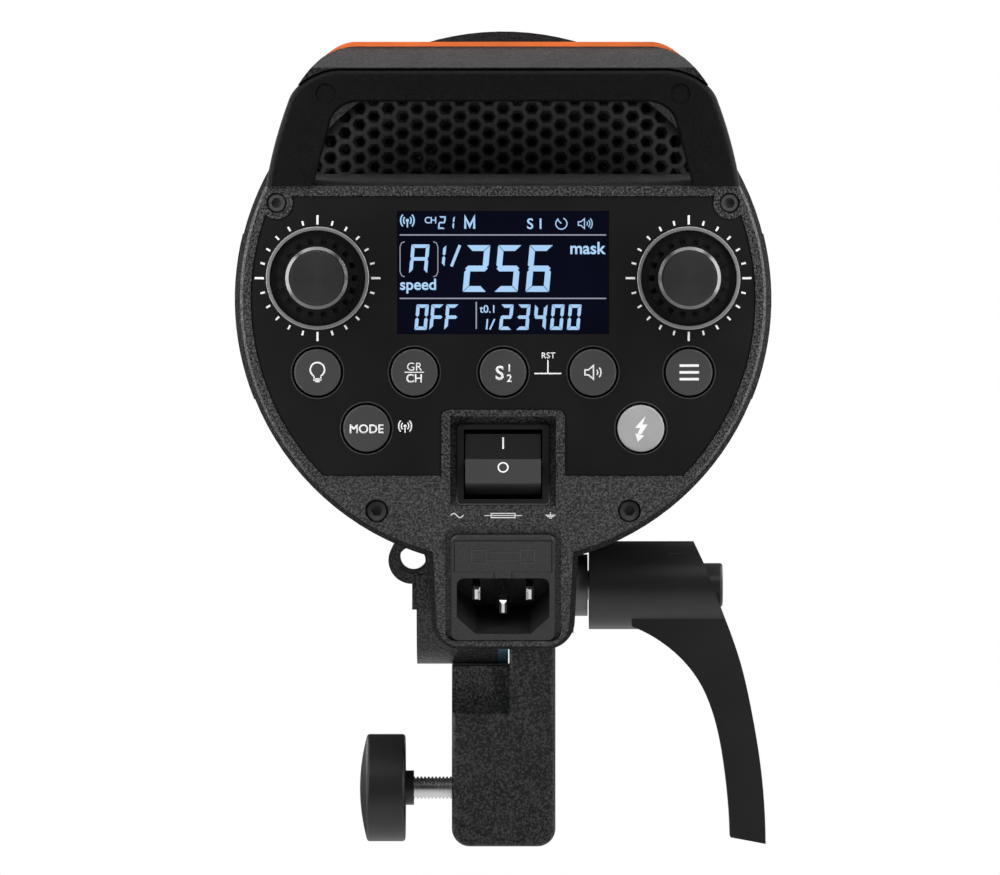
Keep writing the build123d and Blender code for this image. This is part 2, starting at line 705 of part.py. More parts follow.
def stand_receiver():
    """Block with the spigot socket and the arm that reaches the tilt axis."""
    left, right = RECEIVER_X
    bottom = TILT_DROP - AXIS_HEIGHT
    step = -21.8
    block = [(left, step), (left, bottom), (right, bottom)]
    arm = [(right, 0), (ARM_X, 0), (ARM_X, step)]
    upright = slab(make_face(Polyline(block + arm, close=True)), -RECEIVER_HALF_Y, RECEIVER_HALF_Y)
    upright = fillet(upright.edges().filter_by(Axis.Y).group_by(Axis.Z)[0], 4.9)
    faces = upright.faces().sort_by(Axis.Y)
    rims = faces[0].edges() + faces[-1].edges()
    low_rims = [edge for edge in rims if edge.center().Z < -1]
    upright = fillet(low_rims, EDGE_R)
    upright -= rod_x(16.1, left - 1, ARM_X, -23.0, step)
    hub = rod_x(RECEIVER_HALF_Y, 1.6, 19.2)
    body = upright + hub
    body -= rod_x(KNUCKLE_R + 0.35, left - 1, ARM_X)
    from_mouth = (Align.CENTER, Align.CENTER, Align.MIN)
    body -= Pos(0, 0, bottom - 1) * Cylinder(SOCKET_R, SOCKET_DEPTH + 1, align=from_mouth)
    body -= rod_x(3.0 + HINGE_GAP, left - 1, 0, 0, CLAMP_Z)
    body -= rod_x(4.35, -13.0, 0, 0, CLAMP_Z)
    return body - rod_x(BOLT_R + HINGE_GAP, 0, 25)


def tilt_bolt():
    """Clamping bolt with the insert that the lever engages."""
    body = rod_x(BOLT_R, -20, 44) + rod_x(7.0, 27.0, 44.0)
    for angle in range(0, 360, 30):
        body -= Rot(angle, 0, 0) * box(35, 45, 6.3, 8, -0.7, 0.7)
    return body


def tilt_washer():
    washer = rod_x(8.4, 19.5, 23.0) - rod_x(BOLT_R + HINGE_GAP, 18, 25)
    return chamfer(washer.edges().filter_by(GeomType.CIRCLE).sort_by(Axis.X)[-1], 0.5)


LEVER_BACK = [(54.4, 6.5), (59.2, -5.9), (64.5, -20.7), (67.5, -33.7), (69.8, -47.3), (71.0, -59.2),
              (71.4, -70.2)]
LEVER_BELLY = [(61.9, -74.0), (61.6, -62.1), (60.4, -50.3), (57.4, -35.5), (52.1, -24.2), (45.6, -17.2),
               (35.0, -11.0)]


def lever_back_region():
    """Everything inside the lever's curved back, seen from the rear."""
    back = Spline(LEVER_BACK)
    rest = Polyline([back @ 1, (61.9, -68.4), (10, -68.4), (10, 20), (48.2, 20), back @ 0])
    return make_face([back, rest])


def lever_arm_region():
    """Everything outside the lever's curved belly."""
    belly = Spline(LEVER_BELLY)
    rest = Polyline([belly @ 1, (35.0, 0), (45.0, 9.0), (90, 9.0), (90, -74.0), belly @ 0])
    return make_face([belly, rest])


def tilt_lever():
    hub = rod_x(LEVER_R, 23.4, 64)
    arm = slab(lever_arm_region(), -8.4, 8.4)
    taper = profile([(-8.6, 14), (-6.2, -75), (-30, -75), (-30, 14)], 20, 95)
    arm -= taper
    arm -= mirror(taper, Plane.XZ)
    body = (hub + arm) & slab(lever_back_region(), -20, 20)
    return body - rod_x(7.3, 20, 46) - rod_x(6.1, 47.5, 70)


def lever_cap():
    cap = rod_x(6.0, 47.5, 59.8)
    return fillet(cap.edges().filter_by(GeomType.CIRCLE).sort_by(Axis.X)[-1], 0.8)


def clamp_knob():
    """Smooth round knob with a domed end and a short neck."""
    rim_x = -37.0
    dome_r = 53.0
    rise = 2.0
    grip = rod_x(14.6, rim_x - rise, -26.6, 0, CLAMP_Z)
    grip &= Pos(rim_x - rise + dome_r, 0, CLAMP_Z) * Sphere(dome_r)
    grip = fillet(grip.edges().filter_by(GeomType.CIRCLE), 0.9)
    grip += rod_x(4.7, -26.7, -24.3, 0, CLAMP_Z)
    return grip - rod_x(3.0, -34, -20, 0, CLAMP_Z)


def clamp_screw():
    """Threaded rod; its thread is drawn as ring grooves of the same pitch."""
    body = rod_x(3.0, -34.0, -10.6, 0, CLAMP_Z)
    for i in range(13):
        x = -24.0 + i
        body -= ring_x(3.5, 2.6, x, x + 0.45)
    return body


def ring_x(outer, inner, x0, x1):
    return rod_x(outer, x0, x1, 0, CLAMP_Z) - rod_x(inner, x0 - 1, x1 + 1, 0, CLAMP_Z)


def clamp_pad():
    return rod_x(4.25, -10.5, -8.4, 0, CLAMP_Z)


def build():
    save(rear_cover(), "rear_cover", HEAD)
    save(cover_screws(), "cover_screws", HEAD)
    save(control_panel(), "control_panel", HEAD)
    save(display_window(), "display_window", HEAD)
    save(display_module(), "display_module", HEAD)
    save(control_board(), "control_board", HEAD)
    for side, (x, z) in zip(("left", "right"), DIALS):
        save(dial_well(x, z), f"dial_well_{side}", HEAD)
        save(encoder(x, z), f"encoder_{side}", HEAD)
        save(encoder_shaft(x, z), f"encoder_shaft_{side}", HEAD)
        save(knob(x, z), f"knob_{side}", HEAD)
        save(knob_cap(x, z), f"knob_cap_{side}", HEAD)
    for name, (x, z) in BUTTONS.items():
        save(button(x, z), name, HEAD)
    save(switch_frame(), "switch_frame", HEAD)
    save(power_rocker(), "power_rocker", HEAD)
    save(inlet_with_pin_slots(), "inlet_housing", HEAD)
    save(inlet_pins(), "inlet_pins", HEAD)
    save(fuse_drawer(), "fuse_drawer", HEAD)
    save(fuse(), "fuse", HEAD)
    save(main_housing(), "main_housing", HEAD)
    save(side_plate(-1), "side_plate_left", HEAD)
    save(side_plate(1), "side_plate_right", HEAD)
    save(handle_frame(), "handle_frame", HEAD)
    save(handle_cover(), "handle_cover", HEAD)
    save(handle_strip(), "handle_strip", HEAD)
    save(handle_screws(), "handle_screws", HEAD)
    save(rear_grille(), "rear_grille", HEAD)
    save(inner_mesh(), "inner_mesh", HEAD)
    save(fan_frame(), "fan_frame", HEAD)
    save(fan_rotor(), "fan_rotor", HEAD)
    save(front_bell(), "front_bell", HEAD)
    save(bayonet_ring(), "bayonet_ring", HEAD)
    save(mount_release(), "mount_release", HEAD)
    save(reflector_plate(), "reflector_plate", HEAD)
    save(flash_tube(), "flash_tube", HEAD)
    save(modelling_lamp(), "modelling_lamp", HEAD)
    save(glass_cover(), "glass_cover", HEAD)
    save(lamp_base(), "lamp_base", HEAD)
    save(capacitor_bank(), "capacitor_bank", HEAD)
    save(power_board(), "power_board", HEAD)
    save(head_bracket(), "head_bracket", TILT)
    save(friction_disc(), "friction_disc", TILT)
    save(stand_receiver(), "stand_receiver", TILT)
    save(tilt_bolt(), "tilt_bolt", TILT)
    save(tilt_washer(), "tilt_washer", TILT)
    save(tilt_lever(), "tilt_lever", TILT)
    save(lever_cap(), "lever_cap", TILT)
    save(clamp_knob(), "clamp_knob", TILT)
    save(clamp_screw(), "clamp_screw", TILT)
    save(clamp_pad(), "clamp_pad", TILT)


build()
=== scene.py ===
import json
import math

import bmesh
import bpy
from mathutils import Matrix, Vector


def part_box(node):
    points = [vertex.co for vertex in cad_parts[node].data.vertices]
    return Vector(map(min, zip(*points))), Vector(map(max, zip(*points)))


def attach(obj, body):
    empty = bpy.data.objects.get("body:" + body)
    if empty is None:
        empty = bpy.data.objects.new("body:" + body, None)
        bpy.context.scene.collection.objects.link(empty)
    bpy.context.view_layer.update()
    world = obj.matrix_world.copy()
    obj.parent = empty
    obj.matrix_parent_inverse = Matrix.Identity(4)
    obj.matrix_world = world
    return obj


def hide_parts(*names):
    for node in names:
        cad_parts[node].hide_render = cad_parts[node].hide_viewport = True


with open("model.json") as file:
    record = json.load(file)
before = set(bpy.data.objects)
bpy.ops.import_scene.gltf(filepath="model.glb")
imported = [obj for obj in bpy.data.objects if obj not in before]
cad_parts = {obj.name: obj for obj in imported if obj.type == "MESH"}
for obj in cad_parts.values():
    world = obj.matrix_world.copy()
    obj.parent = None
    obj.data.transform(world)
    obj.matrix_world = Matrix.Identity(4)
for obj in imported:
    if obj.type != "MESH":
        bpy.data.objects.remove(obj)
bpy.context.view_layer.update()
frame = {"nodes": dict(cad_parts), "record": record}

MM = 0.001              # metres in a millimetre: lengths are in millimetres unless a comment says otherwise
PRINT = 0.05            # how far printing stands out of its surface
THIN_PRINT = 0.03       # the same, on the dial scales and the display
SUNK = 0.02             # how far printing reaches into its surface

# ---- the head's own frame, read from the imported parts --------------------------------
BELL_LOW, BELL_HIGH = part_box("front_bell")
PANEL_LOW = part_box("control_panel")[0]
AXIS = Vector((0.0, PANEL_LOW.y, (BELL_LOW.z + BELL_HIGH.z) / 2))   # lamp axis at the panel's face
CHIN_LEAN = math.radians(25)
CHIN_TOP = -46.2        # where the chin starts to slope, from the lamp axis


def centre(node):
    low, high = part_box(node)
    return (low + high) / 2


def local(node):
    """Where a node's centre lies on the panel: x and z from the lamp axis, in millimetres."""
    mid = (centre(node) - AXIS) / MM
    return mid.x, mid.z


# ---- camera, light and floor ---------------------------------------------------------
CAMERA_DISTANCE = 2.3         # metres behind the panel
FRAME_WIDTH = 0.2591          # metres across the picture at the panel
SHIFT = (-0.0031, -0.1385)    # the lamp axis sits above and a touch right of the centre
FLOOR_DROP = 0.6              # metres below the stand socket
FLOOR_RADIUS = 5.0            # metres
FILL_STRENGTH = 0.035         # of the surroundings, as the object sees them
BACKDROP_STRENGTH = 1.0       # of the surroundings, as the camera sees them
AIM = AXIS + Vector((0, 0.05, -0.02))   # the middle of the head

# name, place in metres, aim, width and height in metres, watts; the paired ones stand right and left
PAIRED_LIGHTS = [
    ("strip", (0.17, -0.215, 0.17), AXIS, (0.04, 0.36), 0.42),
    ("rim", (0.75, 0.05, 0.25), AIM, (0.35, 1.0), 4.5),
    ("front", (1.3, 1.3, 0.7), AIM, (1.0, 1.0), 10.0),
]
SINGLE_LIGHTS = [
    ("overhead", (0, 0.1, 2.3), AIM, (2.6, 2.6), 56.0),
    ("rear_top", (0, -1.3, 1.25), AIM, (1.3, 0.5), 6.0),
]


def make_camera():
    data = bpy.data.cameras.new("camera")
    data.sensor_width = 36.0
    data.lens = data.sensor_width * CAMERA_DISTANCE / FRAME_WIDTH
    data.shift_x, data.shift_y = SHIFT
    data.clip_end = 60.0
    camera = bpy.data.objects.new("camera", data)
    camera.location = AXIS + Vector((0, -CAMERA_DISTANCE, 0))
    camera.rotation_euler = (math.radians(90), 0, 0)
    bpy.context.collection.objects.link(camera)
    bpy.context.scene.camera = camera


def make_world():
    """Bright backdrop for the camera, dimmer surroundings for the light on the object."""
    world = bpy.data.worlds.new("studio")
    bpy.context.scene.world = world
    world.use_nodes = True
    nodes, links = world.node_tree.nodes, world.node_tree.links
    nodes.clear()
    output = nodes.new("ShaderNodeOutputWorld")
    mix = nodes.new("ShaderNodeMixShader")
    path = nodes.new("ShaderNodeLightPath")
    fill = nodes.new("ShaderNodeBackground")
    fill.inputs["Color"].default_value = (1, 1, 1, 1)
    fill.inputs["Strength"].default_value = FILL_STRENGTH
    backdrop = nodes.new("ShaderNodeBackground")
    backdrop.inputs["Color"].default_value = (1, 1, 1, 1)
    backdrop.inputs["Strength"].default_value = BACKDROP_STRENGTH
    links.new(path.outputs["Is Camera Ray"], mix.inputs["Fac"])
    links.new(fill.outputs["Background"], mix.inputs[1])
    links.new(backdrop.outputs["Background"], mix.inputs[2])
    links.new(mix.outputs["Shader"], output.inputs["Surface"])


def softbox(name, place, target, size, power):
    """A rectangular light that faces its target and stays out of the picture."""
    data = bpy.data.lights.new(name, "AREA")
    data.shape = "RECTANGLE"
    data.size, data.size_y = size
    data.energy = power
    lamp = bpy.data.objects.new(name, data)
    lamp.location = place
    lamp.rotation_euler = (Vector(target) - Vector(place)).to_track_quat("-Z", "Y").to_euler()
    lamp.visible_camera = False
    bpy.context.collection.objects.link(lamp)


def make_lights():
    for side, end in ((-1, "left"), (1, "right")):
        for name, (x, y, z), aim, size, power in PAIRED_LIGHTS:
            softbox(f"{name}_{end}", (side * x, y, z), aim, size, power)
    for name, place, aim, size, power in SINGLE_LIGHTS:
        softbox(name, place, aim, size, power)


def make_floor():
    mesh = bpy.data.meshes.new("floor")
    shape = bmesh.new()
    bmesh.ops.create_circle(shape, cap_ends=True, segments=96, radius=FLOOR_RADIUS)
    shape.to_mesh(mesh)
    shape.free()
    floor = bpy.data.objects.new("floor", mesh)
    floor.location.z = -FLOOR_DROP
    bpy.context.collection.objects.link(floor)
    floor.data.materials.append(plain_surface("studio_floor", (0.78, 0.78, 0.77), 0.8))


# ---- materials -----------------------------------------------------------------------
def new_material(name, color, roughness, **sockets):
    """A material with its shader; further sockets are named with _ for each space."""
    material = bpy.data.materials.new(name)
    material.use_nodes = True
    shader = material.node_tree.nodes["Principled BSDF"]
    shader.inputs["Base Color"].default_value = (*color, 1)
    shader.inputs["Roughness"].default_value = roughness
    for socket, value in sockets.items():
        shader.inputs[socket.replace("_", " ")].default_value = value
    return material, material.node_tree.nodes, material.node_tree.links, shader


def noise(nodes, links, scale, detail=2.0, roughness=0.5, coordinates=None):
    texture = nodes.new("ShaderNodeTexNoise")
    texture.inputs["Scale"].default_value = scale
    texture.inputs["Detail"].default_value = detail
    texture.inputs["Roughness"].default_value = roughness
    if coordinates is None:
        coordinates = nodes.new("ShaderNodeTexCoord").outputs["Object"]
    links.new(coordinates, texture.inputs["Vector"])
    return texture


def ramp(nodes, links, source, stops):
    """Colours picked by a value, from (position, colour) pairs."""
    element = nodes.new("ShaderNodeValToRGB")
    points = element.color_ramp.elements
    for index, (place, color) in enumerate(stops):
        point = points[index] if index < 2 else points.new(place)
        point.position = place
        point.color = (*color, 1)
    links.new(source, element.inputs["Fac"])
    return element


def bump(nodes, links, shader, height, depth_mm, strength=1.0, under=None):
    """Relief on a shader, over the relief named by under."""
    element = nodes.new("ShaderNodeBump")
    element.inputs["Strength"].default_value = strength
    element.inputs["Distance"].default_value = depth_mm * MM
    links.new(height, element.inputs["Height"])
    if under is not None:
        links.new(under.outputs["Normal"], element.inputs["Normal"])
    links.new(element.outputs["Normal"], shader.inputs["Normal"])
    return element


def vary_roughness(nodes, links, shader, low, high, scale):
    texture = noise(nodes, links, scale, 3.0)
    spread = nodes.new("ShaderNodeMapRange")
    spread.inputs["To Min"].default_value = low
    spread.inputs["To Max"].default_value = high
    links.new(texture.outputs["Fac"], spread.inputs["Value"])
    links.new(spread.outputs["Result"], shader.inputs["Roughness"])


def plain_surface(name, color, roughness):
    """Even paint with a faint mottling."""
    material, nodes, links, shader = new_material(name, color, roughness)
    texture = noise(nodes, links, 3.0, 4.0)
    low = tuple(c * 0.97 for c in color)
    shade = ramp(nodes, links, texture.outputs["Fac"], [(0.3, low), (0.7, color)])
    links.new(shade.outputs["Color"], shader.inputs["Base Color"])
    return material


def grained(name, dark, light, grain_mm, depth_mm, roughness, low=0.42, high=0.66, **sockets):
    """Moulded or powder-coated surface with a spark texture: fine grains that catch the light."""
    material, nodes, links, shader = new_material(name, dark, roughness, **sockets)
    scale = 1.0 / (grain_mm * MM)
    coordinates = nodes.new("ShaderNodeTexCoord").outputs["Object"]
    grains = noise(nodes, links, scale, 2.0, 0.6, coordinates)
    shade = ramp(nodes, links, grains.outputs["Fac"], [(low, dark), (high, light)])
    links.new(shade.outputs["Color"], shader.inputs["Base Color"])
    coarse = noise(nodes, links, scale * 0.31, 2.0, 0.5, coordinates)
    first = bump(nodes, links, shader, coarse.outputs["Fac"], depth_mm * 1.4, 0.6)
    bump(nodes, links, shader, grains.outputs["Fac"], depth_mm, 1.0, first)
    vary_roughness(nodes, links, shader, roughness - 0.07, roughness + 0.1, 160.0)
    return material


def satin(name, color, roughness, grain_mm=0.25, depth_mm=0.004, spread=0.05, **sockets):
    """Smooth moulded or coated surface with a micro texture and slight unevenness."""
    material, nodes, links, shader = new_material(name, color, roughness, **sockets)
    coordinates = nodes.new("ShaderNodeTexCoord").outputs["Object"]
    fine = noise(nodes, links, 1.0 / (grain_mm * MM), 2.0, 0.5, coordinates)
    bump(nodes, links, shader, fine.outputs["Fac"], depth_mm, 0.8)
    mottled = noise(nodes, links, 45.0, 3.0, 0.5, coordinates)
    low = tuple(c * 0.86 for c in color)
    high = tuple(min(1.0, c * 1.14) for c in color)
    shade = ramp(nodes, links, mottled.outputs["Fac"], [(0.35, low), (0.65, high)])
    links.new(shade.outputs["Color"], shader.inputs["Base Color"])
    vary_roughness(nodes, links, shader, roughness - spread, roughness + spread, 70.0)
    return material


def machined(name, color, roughness, ring_mm, centre_at, depth_mm=0.01, **sockets):
    """Turned metal: fine concentric marks about an axis along Y through centre_at."""
    material, nodes, links, shader = new_material(name, color, roughness, Metallic=1.0, **sockets)
    coordinates = nodes.new("ShaderNodeTexCoord").outputs["Object"]
    shift = nodes.new("ShaderNodeMapping")
    shift.inputs["Location"].default_value = (-centre_at.x, 0.0, -centre_at.z)
    shift.inputs["Scale"].default_value = (1.0, 0.0, 1.0)
    links.new(coordinates, shift.inputs["Vector"])
    length = nodes.new("ShaderNodeVectorMath")
    length.operation = "LENGTH"
    links.new(shift.outputs["Vector"], length.inputs[0])
    wave = nodes.new("ShaderNodeMath")
    wave.operation = "SINE"
    turns = nodes.new("ShaderNodeMath")
    turns.operation = "MULTIPLY"
    turns.inputs[1].default_value = 2 * math.pi / (ring_mm * MM)
    links.new(length.outputs["Value"], turns.inputs[0])
    links.new(turns.outputs["Value"], wave.inputs[0])
    bump(nodes, links, shader, wave.outputs["Value"], depth_mm, 1.0)
    return material


def brushed(name, color, roughness, **sockets):
    """Bright metal with fine scratches along one direction."""
    material, nodes, links, shader = new_material(name, color, roughness, Metallic=1.0, **sockets)
    coordinates = nodes.new("ShaderNodeTexCoord").outputs["Object"]
    stretch = nodes.new("ShaderNodeMapping")
    stretch.inputs["Scale"].default_value = (900.0, 5200.0, 900.0)
    links.new(coordinates, stretch.inputs["Vector"])
    marks = noise(nodes, links, 1.0, 3.0, 0.5, stretch.outputs["Vector"])
    bump(nodes, links, shader, marks.outputs["Fac"], 0.006, 0.7)
    vary_roughness(nodes, links, shader, roughness - 0.06, roughness + 0.1, 120.0)
    return material


def glowing(name, color, strength):
    """Lit display segments, a little uneven as a backlight is."""
    material, nodes, links, shader = new_material(name, (0.01, 0.012, 0.02), 0.35)
    light = noise(nodes, links, 60.0, 2.0)
    dim = tuple(c * 0.9 for c in color)
    shade = ramp(nodes, links, light.outputs["Fac"], [(0.3, dim), (0.7, color)])
    links.new(shade.outputs["Color"], shader.inputs["Emission Color"])
    shader.inputs["Emission Strength"].default_value = strength
    return material


def clear(name, color, roughness, ior=1.46):
    material, nodes, links, shader = new_material(name, color, roughness, IOR=ior)
    shader.inputs["Transmission Weight"].default_value = 1.0
    vary_roughness(nodes, links, shader, roughness, roughness + 0.03, 90.0)
    return material


# dark and light grain colour, grain, relief depth and roughness for a grained surface;
# colour, roughness, grain and relief depth for a satin one
M = {
    "cover": grained("cover_plastic", (0.0025, 0.0025, 0.0027), (0.078, 0.078, 0.080), 0.55, 0.24,
                     0.34, Specular_IOR_Level=0.4),
    "housing": grained("housing_coat", (0.004, 0.004, 0.0042), (0.036, 0.036, 0.037), 0.50, 0.16, 0.38,
                       Specular_IOR_Level=0.45),
    "handle": grained("handle_plastic", (0.0010, 0.0010, 0.0011), (0.0045, 0.0045, 0.0047), 0.45, 0.10,
                      0.50, Specular_IOR_Level=0.14),
    "handle_cover": grained("handle_cover_plastic", (0.0015, 0.0015, 0.0017), (0.024, 0.024, 0.025),
                            0.55, 0.20, 0.44, Specular_IOR_Level=0.25),
    "cast": grained("cast_powder_coat", (0.0025, 0.0025, 0.0027), (0.052, 0.052, 0.054), 0.60, 0.26, 0.32,
                    Specular_IOR_Level=0.35),
    "panel": satin("panel_plastic", (0.0045, 0.0045, 0.0047), 0.38, 0.22, 0.0025, Specular_IOR_Level=0.38),
    "window": satin("display_glass", (0.0015, 0.002, 0.008), 0.07, 0.9, 0.0005, 0.02),
    "knob": satin("knob_plastic", (0.0045, 0.0045, 0.0046), 0.34, 0.22, 0.004),
    "well": satin("well_plastic", (0.004, 0.004, 0.004), 0.45, 0.22, 0.004),
    "button": satin("button_plastic", (0.036, 0.036, 0.037), 0.52, 0.26, 0.008),
    "test_button": satin("translucent_button", (0.33, 0.33, 0.335), 0.42, 0.3, 0.004),
    "switch": satin("switch_plastic", (0.011, 0.011, 0.0112), 0.30, 0.3, 0.003),
    "inlet": grained("inlet_plastic", (0.012, 0.012, 0.0122), (0.032, 0.032, 0.033), 0.36, 0.04, 0.46),
    "lever": satin("lever_coat", (0.0095, 0.0095, 0.0098), 0.33, 0.30, 0.007,
                   Specular_IOR_Level=0.55),
    "hand_knob": satin("hand_knob_plastic", (0.0095, 0.0095, 0.0098), 0.38, 0.30, 0.007,
                       Specular_IOR_Level=0.5),
    "black_steel": satin("black_oxide_steel", (0.14, 0.14, 0.143), 0.38, 0.2, 0.003, Metallic=0.8),
    "steel": brushed("bright_steel", (0.62, 0.62, 0.63), 0.24),
    "chrome": brushed("nickel_plate", (0.78, 0.78, 0.79), 0.14),
    "blue_steel": brushed("blue_passivated_steel", (0.20, 0.42, 0.56), 0.36),
    "orange": satin("orange_trim", (0.83, 0.17, 0.035), 0.42, 0.3, 0.004),
    "grille": satin("grille_coat", (0.030, 0.030, 0.031), 0.42, 0.2, 0.006),
    "mesh": satin("mesh_coat", (0.016, 0.016, 0.016), 0.36, 0.2, 0.004),
    "fan": satin("fan_plastic", (0.006, 0.006, 0.006), 0.4),
    "board": satin("board_resin", (0.01, 0.07, 0.03), 0.4),
    "print": satin("white_print", (0.82, 0.82, 0.82), 0.5, 0.15, 0.001),
    "segment": glowing("display_segment", (0.42, 0.68, 1.0), 0.95),
    "rule": glowing("display_rule", (0.33, 0.34, 0.42), 0.95),
    "glass": clear("clear_glass", (0.97, 0.98, 0.985), 0.03),
    "tube": clear("tube_glass", (1.0, 0.97, 0.88), 0.02),
    "reflector": satin("reflector_aluminium", (0.80, 0.80, 0.81), 0.22, 0.8, 0.02, Metallic=1.0),
    "insulator": satin("insulating_board", (0.75, 0.74, 0.70), 0.6, 0.3, 0.01),
    "phosphor": satin("lamp_phosphor", (0.85, 0.62, 0.10), 0.5, 0.4, 0.01),
    "ceramic": satin("lamp_body", (0.80, 0.79, 0.75), 0.5, 0.3, 0.006),
    "sleeve": satin("capacitor_sleeve", (0.01, 0.014, 0.03), 0.25),
}

NODE_MATERIALS = {
    "cover": ["rear_cover"],
    "housing": ["main_housing", "side_plate_left", "side_plate_right", "front_bell"],
    "handle": ["handle_frame", "handle_screws"],
    "handle_cover": ["handle_cover"],
    "cast": ["stand_receiver", "head_bracket"],
    "panel": ["control_panel"],
    "window": ["display_window"],
    "knob": ["knob_left", "knob_right"],
    "well": ["dial_well_left", "dial_well_right"],
    "button": ["lamp_button", "group_button", "sync_button", "sound_button", "menu_button", "mode_button"],
    "test_button": ["test_button"],
    "switch": ["switch_frame", "power_rocker"],
    "inlet": ["inlet_housing", "fuse_drawer"],
    "chrome": ["inlet_pins", "bayonet_ring"],
    "lever": ["tilt_lever", "lever_cap"],
    "hand_knob": ["clamp_knob"],
    "black_steel": ["cover_screws", "tilt_washer"],
    "steel": ["clamp_screw", "clamp_pad", "tilt_bolt", "encoder_left", "encoder_right",
              "encoder_shaft_left", "encoder_shaft_right"],
    "blue_steel": ["friction_disc"],
    "orange": ["handle_strip", "mount_release"],
    "grille": ["rear_grille"],
    "mesh": ["inner_mesh"],
    "fan": ["fan_frame", "fan_rotor"],
    "board": ["control_board", "display_module", "power_board"],
    "glass": ["glass_cover", "fuse"],
    "tube": ["flash_tube"],
    "reflector": ["reflector_plate"],
    "insulator": ["lamp_base"],
    "ceramic": ["modelling_lamp"],
    "sleeve": ["capacitor_bank"],
}


def dress_nodes():
    """Gives every carried-over part its finished material."""
    for key, names in NODE_MATERIALS.items():
        for name in names:
            for slot in frame["nodes"][name].material_slots:
                slot.link = "OBJECT"
                slot.material = M[key]


# ---- mesh helpers --------------------------------------------------------------------
def piece(name, shape, material, body):
    """Turns a bmesh in metres into a named piece that rides a body."""
    mesh = bpy.data.meshes.new(name)
    bmesh.ops.recalc_face_normals(shape, faces=shape.faces)
    shape.to_mesh(mesh)
    shape.free()
    thing = bpy.data.objects.new(name, mesh)
    bpy.context.collection.objects.link(thing)
    mesh.materials.append(M[material])
    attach(thing, body)
    return thing


def sheet(polygons, place, thickness=PRINT):
    """Thin prisms from (x, z) outlines in millimetres; place maps (x, y, z) to metres."""
    shape = bmesh.new()
    for outline in polygons:
        front = [shape.verts.new(place(x, -thickness, z)) for x, z in outline]
        back = [shape.verts.new(place(x, SUNK, z)) for x, z in outline]
        shape.faces.new(front)
        shape.faces.new(list(reversed(back)))
        count = len(outline)
        for i in range(count):
            j = (i + 1) % count
            shape.faces.new((front[j], front[i], back[i], back[j]))
    return shape


def on_panel(depth=0.0):
    """Placement on a plane parallel to the panel, depth millimetres towards the front."""
    return lambda x, y, z: AXIS + Vector((x, y + depth, z)) * MM


def arc(x, z, radius, start, end, steps=24, squash=1.0):
    """Points of a circle's arc between two angles in degrees; squash scales it upward."""
    points = []
    for i in range(steps + 1):
        angle = math.radians(start + (end - start) * i / steps)
        points.append((x + radius * math.cos(angle), z + radius * squash * math.sin(angle)))
    return points


def disc(x, z, radius, steps=40):
    return arc(x, z, radius, 0, 360, steps)[:-1]


SHARPEST_MITRE = 0.35   # the cosine below which a corner's mitre grows no further


def ribbon(points, width, closed=False):
    """Quads that follow a line with mitred corners."""
    count = len(points)
    sides = []
    for i, (x, z) in enumerate(points):
        before = points[i - 1] if (i > 0 or closed) else points[i]
        after = points[(i + 1) % count] if (i < count - 1 or closed) else points[i]
        first = Vector((x - before[0], z - before[1]))
        second = Vector((after[0] - x, after[1] - z))
        first = first.normalized() if first.length > 1e-6 else second.normalized()
        second = second.normalized() if second.length > 1e-6 else first
        along = (first + second).normalized()
        normal = Vector((-along.y, along.x))
        reach = width / 2 / max(SHARPEST_MITRE, abs(normal.dot(Vector((-first.y, first.x)))))
        sides.append(((x + normal.x * reach, z + normal.y * reach),
                      (x - normal.x * reach, z - normal.y * reach)))
    quads = []
    for i in range(count if closed else count - 1):
        a, b = sides[i], sides[(i + 1) % count]
        quads.append([a[0], b[0], b[1], a[1]])
    return quads


def strip(points, width, place, thickness=PRINT, closed=False):
    """A ribbon as one connected thin prism."""
    count = len(points)
    shape = bmesh.new()
    quads = ribbon(points, width, closed)
    rails = [(q[0], q[3]) for q in quads]
    if not closed:
        rails.append((quads[-1][1], quads[-1][2]))
    rings = []
    for left, right in rails:
        rings.append([
            shape.verts.new(place(left[0], -thickness, left[1])),
            shape.verts.new(place(right[0], -thickness, right[1])),
            shape.verts.new(place(right[0], SUNK, right[1])),
            shape.verts.new(place(left[0], SUNK, left[1])),
        ])
    steps = count if closed else len(rings) - 1
    for i in range(steps):
        a, b = rings[i], rings[(i + 1) % len(rings)]
        for j in range(4):
            k = (j + 1) % 4
            shape.faces.new((a[j], a[k], b[k], b[j]))
    if not closed:
        shape.faces.new(list(reversed(rings[0])))
        shape.faces.new(rings[-1])
    return shape


def join(shapes):
    """One bmesh from several."""
    whole = bmesh.new()
    for shape in shapes:
        mesh = bpy.data.meshes.new("part")
        shape.to_mesh(mesh)
        shape.free()
        whole.from_mesh(mesh)
        bpy.data.meshes.remove(mesh)
    return whole


CAPITAL = 0.70          # capital height of the built-in typeface, as a share of its size


